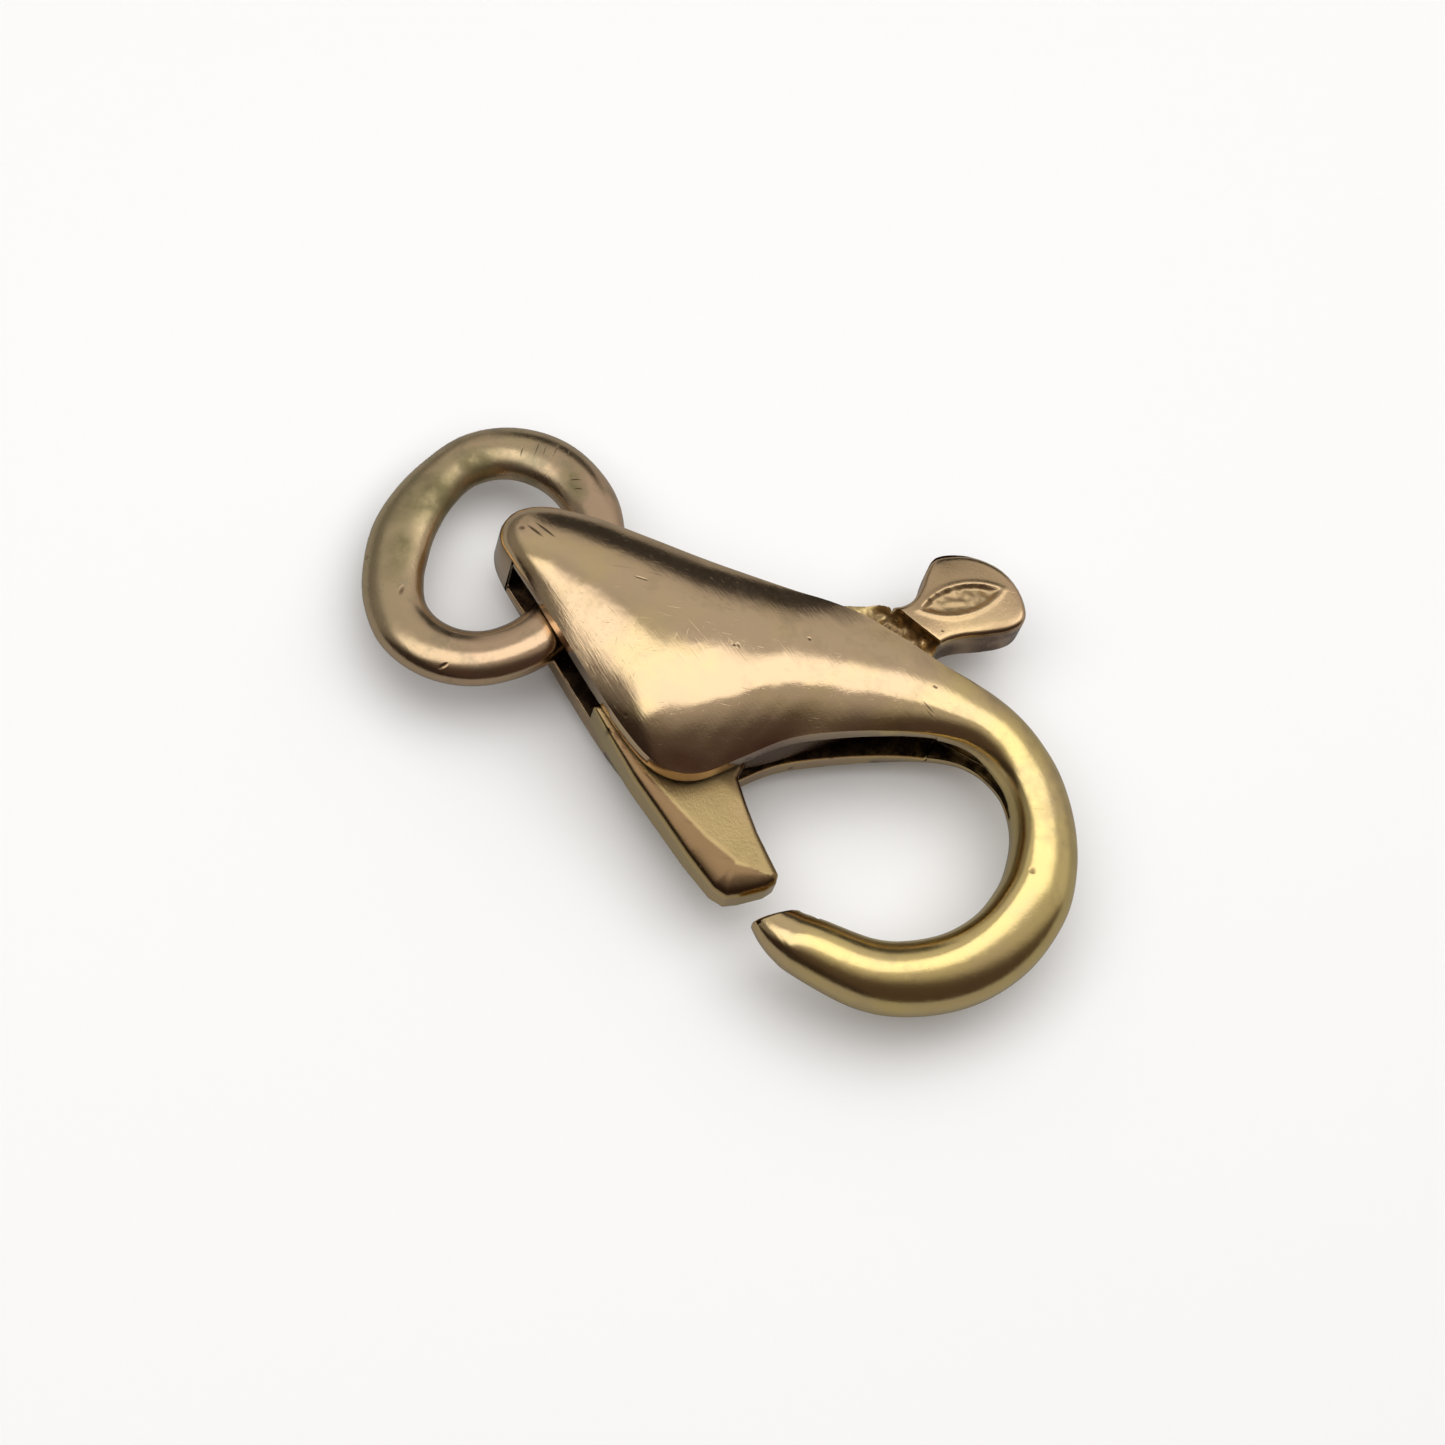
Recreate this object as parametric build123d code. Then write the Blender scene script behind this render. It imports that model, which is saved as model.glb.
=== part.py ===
from build123d import *
import math
import os

# Gold lobster clasp with its tail ring, in millimetres.
# +X runs from the tail to the hook, +Y points to the thumb paddle, +Z is up.
# The origin is the foot of the lever's pivot axis, on the flat of the back that the clasp lies on.

# Claw body
tail_reach = 9.88          # pivot axis to the end of the tail
neck_reach = 4.9           # pivot axis to the last section before the hook
near_reach = 4.26          # pivot axis to the shoulder rim, on the side of the eye
far_reach = 4.7            # pivot axis to the rim on the paddle's side
rim_to_rim = 3.2           # over the two plates, at their edge
dome_rise = 1.2            # each plate's dome above its rim
back_wear = 0.12           # worn off the back's crown

# Hook
eye_x = 5.93               # centre of the hook's arc from the pivot axis
eye_y = -0.58
hook_radius = 4.7          # to the middle of the wire
hook_wire = 2.42

# Slot between the plates, and the bridge that closes it at the tail
slot_height = 1.7
bridge_length = 1.1
slot_front = 5.7           # pivot axis to the slot's front end, at the eye
slot_front_lean = 15.0     # degrees that the front end leans back towards the paddle's side
slot_over = 0.3            # that the cut runs past the rim on the side of the eye

# Lever
lever_play = 0.1           # to each plate
finger_reach = 3.5         # pivot axis to the finger's end, along X
finger_drop = 5.85         # pivot axis to the finger's outer corner, along Y
finger_root = 3.86         # pivot axis to where the finger leaves the plates, along Y
finger_edge = 0.4          # rounding of the finger's outer edges
lever_corner = 0.5         # radius that the corners of the lever's outline are shares of
paddle_reach = 8.7         # pivot axis to the paddle's end, along Y
paddle_width = 3.5
paddle_thickness = 1.7
paddle_edge = 0.32
neck_thickness = 1.1
neck_start = 3.4           # pivot axis to where the recessed neck starts, between the plates
neck_step = 5.2            # pivot axis to the step between neck and paddle
stamp_length = 2.8         # blank pointed recess on the paddle
stamp_width = 1.05
stamp_depth = 0.12
stamp_turn = 55.4          # degrees from +X
stamp_x = 2.7              # its middle from the pivot axis
stamp_y = 6.9

# Pivot pin
pin_diameter = 1.0
pin_seat = 0.4             # metal left over each end of the pin
pin_play = 0.05            # radial, in the lever
pin_fit = 0.02             # radial, in the plates

# Tail ring
ring_across = 9.6          # over the wire, the long way
ring_along = 7.86          # over the wire, the short way
ring_wire = 1.9            # wire in the ring's plane
ring_height = 1.3          # wire across the ring's plane
ring_hinge = 7.2           # pivot axis to the line that the ring swings about
ring_offset = 2.5          # from that line to the ring's middle
ring_side = -1.45          # the ring's middle from the clasp's axis
ring_turn = 11.5           # degrees that the long axis is turned
ring_droop = 10.0          # degrees that the free end hangs below level

rim_half = rim_to_rim / 2
slot_half = slot_height / 2
mid_height = rim_half + dome_rise - back_wear

# Plate sections from the tail to the neck.
# along: share of tail_reach behind the pivot, or of neck_reach in front of it
# near and far: edges as shares of near_reach and far_reach, + towards the paddle
# rim and dome: shares of half of rim_to_rim and of dome_rise
# crest: the dome's highest line from the section's middle, as a share of its half width
plate_shares = [
    # along, near, far, rim, dome, crest
    (-1.000, -0.225, -0.070, 0.48, 0.22, 0.00),
    (-0.987, -0.285, -0.015, 0.54, 0.32, 0.00),
    (-0.952, -0.355, 0.060, 0.62, 0.44, -0.02),
    (-0.885, -0.425, 0.145, 0.72, 0.58, -0.06),
    (-0.764, -0.520, 0.238, 0.86, 0.74, -0.12),
    (-0.603, -0.648, 0.338, 0.97, 0.88, -0.18),
    (-0.422, -0.805, 0.460, 1.00, 0.97, -0.24),
    (-0.261, -0.935, 0.585, 1.00, 1.00, -0.28),
    (-0.141, -0.990, 0.682, 1.00, 1.00, -0.30),
    (-0.050, -0.965, 0.765, 1.00, 1.00, -0.30),
    (0.041, -0.822, 0.820, 1.00, 1.00, -0.28),
    (0.163, -0.540, 0.855, 1.00, 1.00, -0.24),
    (0.306, -0.211, 0.878, 0.99, 0.98, -0.19),
    (0.510, 0.070, 0.910, 0.97, 0.93, -0.13),
    (0.755, 0.345, 0.943, 0.90, 0.84, -0.07),
    (1.000, 0.540, 0.990, 0.72, 0.72, 0.00),
]

# Hook sections, clockwise round the middle of the eye.
# turn: degrees from +X; radius: share of hook_radius; wire: share of hook_wire
# rim and dome: shares of half of hook_wire
hook_shares = [
    # turn, radius, wire, rim, dome
    (83.0, 0.920, 1.050, 0.54, 0.58),
    (62.0, 0.984, 0.870, 0.18, 0.80),
    (38.0, 0.984, 0.900, 0.08, 0.88),
    (12.0, 0.998, 0.975, 0.06, 0.94),
    (-15.0, 1.000, 1.000, 0.06, 0.94),
    (-42.0, 0.998, 0.975, 0.06, 0.92),
    (-66.0, 1.000, 0.920, 0.06, 0.86),
]

# Hook's end: back and out are shares of hook_radius from the middle of the eye
tip_shares = [
    # back, out, face, wire, rim, dome
    (-0.015, 1.015, -81.0, 0.81, 0.05, 0.76),
    (0.145, 1.040, -84.0, 0.70, 0.05, 0.63),
    (0.283, 1.004, -125.0, 0.62, 0.04, 0.46),
]

# Lever's outline, anticlockwise from the root of the finger.
# x: share of finger_reach; y: share of finger_drop below the axis, of paddle_reach above it
# corner: radius as a share of lever_corner
finger_shares = [
    # x, y, corner
    (-1.11, -0.640, 0.4),
    (-0.86, -0.710, 1.2),
    (0.790, -1.018, 1.0),
    (1.010, -0.970, 0.7),
    (1.165, -0.755, 0.5),
    (0.200, -0.400, 2.4),
]
neck_shares = [
    # x, y, corner
    (1.000, 0.330, 3.0),
    (0.880, 0.600, 0.6),
    (0.480, 0.600, 0.6),
    (-0.140, 0.440, 3.0),
    (-0.600, 0.000, 3.0),
]

# Paddle's outline, a smooth curve from one end of the neck's step to the other.
# x: share of paddle_width from the pivot axis; y: share of paddle_reach
paddle_shares = [
    # x, y
    (0.450, 0.605),
    (0.397, 0.690),
    (0.343, 0.780),
    (0.340, 0.865),
    (0.430, 0.937),
    (0.630, 0.983),
    (0.860, 1.000),
    (1.110, 0.970),
    (1.310, 0.908),
    (1.330, 0.835),
    (1.143, 0.730),
    (0.971, 0.655),
    (0.886, 0.590),
]


def rounded_section(plane, half_width, rim, dome, crest=0.0):
    """Closed wire: upright walls up to the rim, and a dome of two quarter ellipses over and under."""
    top = crest * half_width
    right = half_width - top
    left = half_width + top
    arcs = [
        EllipticalCenterArc((top, rim), right, dome, start_angle=0, arc_size=90),
        EllipticalCenterArc((top, rim), left, dome, start_angle=90, arc_size=90),
        Line((-half_width, rim), (-half_width, -rim)),
        EllipticalCenterArc((top, -rim), left, dome, start_angle=180, arc_size=90),
        EllipticalCenterArc((top, -rim), right, dome, start_angle=270, arc_size=90),
        Line((half_width, -rim), (half_width, rim)),
    ]
    return plane * Wire(arcs)


def radial_plane(x, y, turn):
    """Upright plane whose first axis points outwards at an angle, in degrees."""
    c = math.cos(math.radians(turn))
    s = math.sin(math.radians(turn))
    return Plane(origin=(x, y, 0), x_dir=(c, s, 0), z_dir=(s, -c, 0))


def plate_sections():
    wires = []
    for along, near, far, rim, dome, crest in plate_shares:
        x = along * (tail_reach if along < 0 else neck_reach)
        y_near = near * near_reach
        y_far = far * far_reach
        plane = Plane(origin=(x, (y_near + y_far) / 2, 0), x_dir=(0, 1, 0), z_dir=(1, 0, 0))
        half = (y_far - y_near) / 2
        wires.append(rounded_section(plane, half, rim * rim_half, dome * dome_rise, crest))
    return wires


def hook_sections():
    wires = []
    half = hook_wire / 2
    for turn, radius, wire, rim, dome in hook_shares:
        r = radius * hook_radius
        x = eye_x + r * math.cos(math.radians(turn))
        y = eye_y + r * math.sin(math.radians(turn))
        wires.append(rounded_section(radial_plane(x, y, turn), wire * half, rim * half, dome * half))
    for back, out, face, wire, rim, dome in tip_shares:
        plane = radial_plane(eye_x - back * hook_radius, eye_y - out * hook_radius, face)
        wires.append(rounded_section(plane, wire * half, rim * half, dome * half))
    return wires


def rounded_outline(points, radii):
    """Closed face through points with each corner rounded by its own radius."""
    face = make_face(Polyline(*points, close=True))
    for point, radius in zip(points, radii):
        corner = min(face.vertices(), key=lambda v: math.dist((v.X, v.Y), point))
        face = fillet(corner, radius)
    return face


def slab(face, half_height):
    return extrude(face, amount=half_height, both=True)


def claw_body():
    body = Solid.make_loft(plate_sections() + hook_sections())
    # Slot, from the tail's bridge to its leaning front end
    rear = -(tail_reach - bridge_length)
    low = -(near_reach + slot_over)
    high = far_reach + hook_wire / 2
    front_high = slot_front - high * math.tan(math.radians(slot_front_lean))
    slot = make_face(Polyline((rear, low), (slot_front, low), (slot_front, 0),
                              (front_high, high), (rear, high), close=True))
    body = body - slab(slot, slot_half)
    # Blind seats of the pivot pin
    seat_half = rim_half + dome_rise - pin_seat
    body = body - Cylinder(pin_diameter / 2 + pin_fit, 2 * (seat_half + pin_fit))
    # Worn flat of the back
    wear = Box(4 * tail_reach, 4 * tail_reach, 2 * dome_rise)
    return body - Pos(0, 0, -mid_height - dome_rise) * wear


def lever():
    blade_half = slot_half - lever_play
    outline = []
    radii = []
    for x, y, corner in finger_shares:
        outline.append((x * finger_reach, y * finger_drop))
        radii.append(corner * lever_corner)
    for x, y, corner in neck_shares:
        outline.append((x * finger_reach, y * paddle_reach))
        radii.append(corner * lever_corner)
    blade = slab(rounded_outline(outline, radii), blade_half)
    # Rounded outer edge of the finger
    edges = blade.edges().filter_by(Plane.XY).filter_by(lambda e: e.center().Y < -finger_root)
    blade = fillet(edges, finger_edge)
    # Recessed neck between the plates' edge and the paddle
    neck_half = neck_thickness / 2
    recess_end = neck_step + paddle_width / 4
    recess = Box(4 * paddle_width, recess_end - neck_start, blade_half)
    recess_y = (recess_end + neck_start) / 2
    for side in (1, -1):
        blade = blade - Pos(0, recess_y, side * (neck_half + blade_half / 2)) * recess
    # Paddle
    rim = Spline(*[(x * paddle_width, y * paddle_reach) for x, y in paddle_shares])
    head = slab(make_face([rim, Line(rim @ 1, rim @ 0)]), paddle_thickness / 2)
    head = fillet(head.edges().filter_by(Plane.XY), paddle_edge)
    piece = blade + head
    # Blank pointed recess on the paddle
    bow = stamp_width / 2
    arc = ThreePointArc((-stamp_length / 2, 0), (0, bow), (stamp_length / 2, 0))
    other = ThreePointArc((stamp_length / 2, 0), (0, -bow), (-stamp_length / 2, 0))
    stamp = extrude(make_face([arc, other]), amount=stamp_depth * 2)
    place = Pos(stamp_x, stamp_y, paddle_thickness / 2 - stamp_depth)
    piece = piece - place * Rot(0, 0, stamp_turn) * stamp
    return piece - Cylinder(pin_diameter / 2 + pin_play, 3 * slot_height)


def pivot_pin():
    seat_half = rim_half + dome_rise - pin_seat
    return Cylinder(pin_diameter / 2, 2 * seat_half)


def tail_ring():
    across = (ring_across - ring_wire) / 2
    along = (ring_along - ring_wire) / 2
    path = Edge.make_ellipse(across, along)
    start = Plane(origin=path @ 0, x_dir=(1, 0, 0), z_dir=path % 0)
    ring = sweep(start * Ellipse(ring_wire / 2, ring_height / 2), path=path)
    flat = Pos(-ring_offset, ring_side, 0) * Rot(0, 0, 90 + ring_turn) * ring
    return Pos(-ring_hinge, 0, 0) * Rot(0, -ring_droop, 0) * flat


pieces = {
    "claw_body": claw_body,
    "lever": lever,
    "pivot_pin": pivot_pin,
    "tail_ring": tail_ring,
}

os.makedirs("parts", exist_ok=True)
for name, make in pieces.items():
    solid = Pos(0, 0, mid_height) * make()
    solid.label = name
    export_step(solid, "parts/" + name + ".step")
    print(name, "volume", round(solid.volume, 2))
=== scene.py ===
import bpy
import bmesh
import math
from mathutils import Vector, Matrix, noise


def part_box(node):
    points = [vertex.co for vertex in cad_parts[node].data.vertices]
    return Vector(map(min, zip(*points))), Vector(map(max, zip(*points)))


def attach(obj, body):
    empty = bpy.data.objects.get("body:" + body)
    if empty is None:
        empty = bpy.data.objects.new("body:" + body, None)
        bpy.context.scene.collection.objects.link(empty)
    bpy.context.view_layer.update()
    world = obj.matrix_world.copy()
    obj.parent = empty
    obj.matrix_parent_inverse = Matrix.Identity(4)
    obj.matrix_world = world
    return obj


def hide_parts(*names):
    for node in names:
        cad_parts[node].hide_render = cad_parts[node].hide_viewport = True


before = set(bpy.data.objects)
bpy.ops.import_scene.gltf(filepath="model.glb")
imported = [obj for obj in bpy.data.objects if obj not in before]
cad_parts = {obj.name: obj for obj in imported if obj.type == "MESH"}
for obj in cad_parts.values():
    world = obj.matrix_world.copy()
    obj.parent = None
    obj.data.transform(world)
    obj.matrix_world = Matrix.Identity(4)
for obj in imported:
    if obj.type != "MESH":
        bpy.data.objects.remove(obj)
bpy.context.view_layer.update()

mm = 0.001
leverLow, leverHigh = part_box("lever")
midPlane = (leverLow[2] + leverHigh[2]) / 2 / mm      # height of the clasp's middle, mm
facing = 0.9             # a face whose normal has this much of an axis faces along it


# Small helpers, all lengths in mm until sizeDown

def deselectAll():
    if bpy.context.object and bpy.context.object.mode != "OBJECT":
        bpy.ops.object.mode_set(mode="OBJECT")
    bpy.ops.object.select_all(action="DESELECT")


def makeActive(obj):
    deselectAll()
    obj.select_set(True)
    bpy.context.view_layer.objects.active = obj


def pickFaces(obj, rule):
    # in edit mode, as the next two
    bpy.ops.mesh.select_mode(type="FACE")
    bpy.ops.mesh.select_all(action="DESELECT")
    shape = bmesh.from_edit_mesh(obj.data)
    for face in shape.faces:
        if rule(face):
            face.select_set(True)
    bmesh.update_edit_mesh(obj.data)


def pickVerts(obj, rule):
    bpy.ops.mesh.select_mode(type="VERT")
    bpy.ops.mesh.select_all(action="DESELECT")
    shape = bmesh.from_edit_mesh(obj.data)
    for vert in shape.verts:
        if rule(vert.co):
            vert.select_set(True)
    shape.select_flush(True)
    bmesh.update_edit_mesh(obj.data)


def pickEdges(obj, rule):
    bpy.ops.mesh.select_mode(type="EDGE")
    bpy.ops.mesh.select_all(action="DESELECT")
    shape = bmesh.from_edit_mesh(obj.data)
    for edge in shape.edges:
        if rule(edge):
            edge.select_set(True)
    bmesh.update_edit_mesh(obj.data)


def applyModifier(obj, kind, **settings):
    makeActive(obj)
    modifier = obj.modifiers.new(kind.title(), kind)
    for key, value in settings.items():
        setattr(modifier, key, value)
    bpy.ops.object.modifier_apply(modifier=modifier.name)


def cutAway(obj, tool, operation="DIFFERENCE"):
    applyModifier(obj, "BOOLEAN", operation=operation, object=tool, solver="EXACT")
    bpy.data.objects.remove(tool)


def sizeDown(obj):
    # from mm to metres, with the object's place in its mesh
    makeActive(obj)
    bpy.ops.object.transform_apply(location=True, rotation=True, scale=True)
    obj.scale = (mm, mm, mm)
    bpy.ops.object.transform_apply(location=True, rotation=True, scale=True)


def smoothRows(rows, steps):
    # a curve run through rows of numbers, steps from one row to the next
    fine = []
    last = len(rows) - 1
    for i in range(last):
        around = rows[max(i - 1, 0)], rows[i], rows[i + 1], rows[min(i + 2, last)]
        for k in range(steps):
            t = k / steps
            row = []
            for a, b, c, d in zip(*around):
                bend = 2 * a - 5 * b + 4 * c - d + t * (3 * (b - c) + d - a)
                row.append(b + 0.5 * t * (c - a + t * bend))
            fine.append(row)
    fine.append(list(rows[last]))
    return fine


def held(value):
    # between 0 and 1
    return min(max(value, 0), 1)


def startMesh(name):
    # empty, in edit mode
    deselectAll()
    bpy.ops.mesh.primitive_plane_add(size=1)
    obj = bpy.context.object
    obj.name = name
    bpy.ops.object.mode_set(mode="EDIT")
    bpy.ops.mesh.delete(type="VERT")
    return obj


def drawOutline(name, points, height):
    # a face whose corners are drawn one after another
    obj = startMesh(name)
    bpy.ops.mesh.primitive_plane_add(size=1, location=(*points[0][:2], height))
    bpy.ops.mesh.select_mode(type="VERT")
    bpy.ops.mesh.merge(type="CENTER")
    bpy.ops.mesh.select_all(action="SELECT")
    for (x0, y0, *_), (x1, y1, *_) in zip(points, points[1:]):
        bpy.ops.mesh.extrude_region_move(TRANSFORM_OT_translate={"value": (x1 - x0, y1 - y0, 0)})
    bpy.ops.mesh.select_all(action="SELECT")
    bpy.ops.mesh.edge_face_add()
    return obj


def thicken(obj, height):
    bpy.ops.mesh.select_all(action="SELECT")
    bpy.ops.mesh.extrude_region_move(TRANSFORM_OT_translate={"value": (0, 0, height)})
    bpy.ops.mesh.select_all(action="SELECT")
    bpy.ops.mesh.normals_make_consistent(inside=False)


# Claw body: rings along the plates and the hook, bridged, then slotted

clawBody = {
    "eye": (5.93, -0.58),              # middle of the hook's arc
    # x, near and far edge, wall half height, dome rise, crest, then the powers of the dome's
    # curve: how full it is on the near and the far side of its crest, how steep at the far and
    # the near edge
    "plateRows": [
        (-9.88, -0.96, -0.33, 0.77, 0.22, 0.00, 2.4, 2.1, 0.74, 0.74),
        (-9.75, -1.21, -0.07, 0.86, 0.31, -0.08, 2.4, 2.1, 0.74, 0.74),
        (-9.41, -1.51, 0.28, 0.99, 0.42, -0.18, 2.5, 2.0, 0.74, 0.74),
        (-8.74, -1.81, 0.68, 1.15, 0.51, -0.25, 2.6, 1.94, 0.74, 0.74),
        (-7.55, -2.22, 1.12, 1.38, 0.60, -0.21, 1.75, 1.92, 0.80, 0.92),
        (-5.96, -2.83, 1.59, 1.55, 0.76, -0.13, 1.60, 2.03, 0.84, 1.00),
        (-4.17, -3.51, 2.16, 1.60, 0.95, -0.19, 1.75, 2.09, 0.85, 1.00),
        (-2.58, -4.05, 2.75, 1.60, 1.04, -0.30, 2.20, 2.21, 0.89, 0.93),
        (-1.39, -4.28, 3.21, 1.60, 0.99, -0.25, 2.25, 2.13, 0.93, 0.93),
        (-0.49, -4.11, 3.60, 1.60, 0.89, -0.10, 1.99, 1.90, 0.98, 0.98),
        (0.20, -3.50, 3.85, 1.60, 0.74, 0.00, 1.82, 1.81, 1.03, 1.03),
        (0.80, -2.30, 4.02, 1.60, 0.61, 0.01, 1.80, 1.80, 1.06, 1.06),
        (1.50, -0.90, 4.13, 1.58, 0.52, -0.01, 1.80, 1.80, 1.08, 1.08),
        (2.50, 0.30, 4.28, 1.55, 0.42, -0.05, 1.80, 1.80, 1.05, 1.05),
        (3.70, 1.47, 4.43, 1.42, 0.36, -0.11, 1.80, 1.80, 0.88, 0.88),
        (4.70, 2.28, 4.68, 1.20, 0.40, -0.18, 1.90, 1.80, 0.71, 0.71),
        (5.60, 2.80, 4.88, 0.92, 0.54, -0.22, 2.00, 1.85, 0.61, 0.61),
    ],
    "hookDome": (2.0, 2.0, 0.5, 0.5),  # the same four powers
    "hookRows": [                      # angle, radius, half width, wall half height, dome rise, crest
        (84, 4.57, 1.00, 0.58, 0.76, -0.26),
        (73, 4.65, 0.99, 0.30, 0.95, -0.29),
        (60, 4.70, 0.98, 0.16, 1.03, -0.32),
        (44, 4.68, 1.02, 0.11, 1.06, -0.35),
        (28, 4.67, 1.11, 0.08, 1.09, -0.38),
        (12, 4.69, 1.18, 0.07, 1.14, -0.38),
        (-8, 4.70, 1.20, 0.07, 1.14, -0.36),
        (-28, 4.70, 1.20, 0.07, 1.13, -0.22),
        (-48, 4.69, 1.17, 0.07, 1.10, -0.08),
        (-66, 4.70, 1.11, 0.07, 1.04, 0.00),
    ],
    "tipRows": [                       # x, y from the eye's middle, facing, half width, wall, dome
        (0.07, -4.77, -81, 0.98, 0.06, 0.92),
        (-0.68, -4.89, -84, 0.85, 0.06, 0.76),
        (-1.33, -4.72, -125, 0.75, 0.05, 0.56),
    ],
    "ringPoints": 120,
    "ringSteps": 9,
    "slotHalf": 0.85,
    "slotRear": -8.78,
    "slotFront": (5.70, 4.55),         # at the eye's side and at the paddle's side
    "slotSides": (-4.6, 6.1),
    "groove": [                        # x, y, the slot's thin end beyond the eye
        (4.40, 0.50),
        (8.30, 0.90),
        (8.30, 2.50),
        (7.60, 3.08),
        (6.60, 3.30),
        (5.40, 3.20),
        (4.40, 3.10),
    ],
    "grooveThins": 0.9,                # share of its height that it loses by its end
    "slotSlack": (0.02, 0.05, 0.10),   # past its sides, rear and front, still counted as inside
    "slotSideFacing": 0.6,
    "slotFrontShows": 1.0,             # from this y on
    "lipRounding": 0.10,
    "lipSegments": 3,
    "lipAngle": 40,                    # degrees, for edges that are sharp enough to wear
    "lipSlack": 0.01,
}


def addRing(obj, number, count, place, turn, half, wall, dome,
            crest=0, near=2, far=2, farSteep=0.5, nearSteep=0.5):
    # one section: a circle stretched to its width, with a dome over and under two upright walls
    bpy.ops.mesh.select_all(action="DESELECT")
    bpy.ops.mesh.primitive_circle_add(
        vertices=count, radius=1, location=place, rotation=(math.pi / 2, 0, turn))
    bpy.ops.transform.resize(value=(half, half, dome), center_override=place)
    shape = bmesh.from_edit_mesh(obj.data)
    shape.verts.ensure_lookup_table()
    for vert in shape.verts[number * count:(number + 1) * count]:
        offX, offY = vert.co.x - place[0], vert.co.y - place[1]
        across = (offX * math.cos(turn) + offY * math.sin(turn)) / half
        if across > crest:
            full = (1 - min((across - crest) / (1 - crest), 1) ** far) ** farSteep
        else:
            full = (1 - min((crest - across) / (1 + crest), 1) ** near) ** nearSteep
        rise = wall + dome * full
        vert.co.z = place[2] + (rise if vert.co.z > place[2] else -rise)
    bmesh.update_edit_mesh(obj.data)


def makeRings(size):
    # plates, hook and its tip in one run
    rows = []
    for x, near, far, *section in size["plateRows"]:
        rows.append((x, (near + far) / 2, 90, (far - near) / 2, *section))
    eyeX, eyeY = size["eye"]
    for angle, radius, *section in size["hookRows"]:
        turn = math.radians(angle)
        place = eyeX + radius * math.cos(turn), eyeY + radius * math.sin(turn)
        rows.append((*place, angle, *section, *size["hookDome"]))
    for x, y, angle, half, wall, dome in size["tipRows"]:
        rows.append((eyeX + x, eyeY + y, angle, half, wall, dome, 0, *size["hookDome"]))

    body = startMesh("clawCasting")
    for i, (x, y, angle, *section) in enumerate(smoothRows(rows, size["ringSteps"])):
        addRing(body, i, size["ringPoints"], (x, y, midPlane), math.radians(angle), *section)
    bpy.ops.mesh.select_all(action="SELECT")
    bpy.ops.mesh.bridge_edge_loops()
    pickEdges(body, lambda edge: edge.is_boundary)
    bpy.ops.mesh.edge_face_add()
    bpy.ops.mesh.select_all(action="SELECT")
    bpy.ops.mesh.normals_make_consistent(inside=False)
    bpy.ops.object.mode_set(mode="OBJECT")
    return body


def makeSlotTool(size):
    # a block between the plates, its front end leaning back, and the groove joined to it
    low, high = size["slotSides"]
    nearFront, farFront = size["slotFront"]
    rear, half = size["slotRear"], size["slotHalf"]
    slot = startMesh("slotTool")
    centre = ((rear + nearFront) / 2, (low + high) / 2, midPlane)
    bpy.ops.mesh.primitive_cube_add(size=1, location=centre)
    stretch = (nearFront - rear, high - low, 2 * half)
    bpy.ops.transform.resize(value=stretch, center_override=centre)
    pickVerts(slot, lambda co: co.x > centre[0] and co.y > centre[1])
    bpy.ops.transform.translate(value=(farFront - nearFront, 0, 0))
    bpy.ops.object.mode_set(mode="OBJECT")

    groove = drawOutline("grooveTool", size["groove"], midPlane - half)
    thicken(groove, 2 * half)
    bpy.ops.object.mode_set(mode="OBJECT")
    start, end = size["groove"][0][0], size["groove"][1][0]
    for vert in groove.data.vertices:
        left = 1 - size["grooveThins"] * (vert.co.x - start) / (end - start)
        vert.co.z = midPlane + (vert.co.z - midPlane) * left
    cutAway(slot, groove, "UNION")
    return slot


def wearLips(body, size):
    # the sharp edges between the slot and the plates
    makeActive(body)
    bpy.ops.object.mode_set(mode="EDIT")

    def isLip(edge):
        if len(edge.link_faces) != 2 or edge.calc_face_angle(0) < math.radians(size["lipAngle"]):
            return False
        height = (edge.verts[0].co.z + edge.verts[1].co.z) / 2
        return abs(height - midPlane) < size["slotHalf"] + size["lipSlack"]

    pickEdges(body, isLip)
    bpy.ops.mesh.bevel(offset=size["lipRounding"], segments=size["lipSegments"], clamp_overlap=False)
    bpy.ops.object.mode_set(mode="OBJECT")


def makeClawBody(size):
    body = makeRings(size)
    cutAway(body, makeSlotTool(size))
    wearLips(body, size)
    return body


def insideSlot(size, face):
    # the slot's two sides and its ends, read in metres
    x, y, z = face.center / mm
    sideSlack, rearSlack, frontSlack = size["slotSlack"]
    rear = size["slotRear"]
    if abs(z - midPlane) > size["slotHalf"] + sideSlack or x < rear - rearSlack:
        return False
    if abs(face.normal.z) > size["slotSideFacing"]:
        start, end = size["groove"][0][0], size["groove"][1][0]
        return x < start or (x < end and face.normal.z * (z - midPlane) < 0)
    if face.normal.x > facing:
        return x < rear + rearSlack
    nearFront, farFront = size["slotFront"]
    atFront = farFront - frontSlack < x < nearFront and y > size["slotFrontShows"]
    return atFront and face.normal.x < -facing


print("body casting")
clawCasting = makeClawBody(clawBody)


# Lever: finger, hub, neck and paddle in one casting

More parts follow.
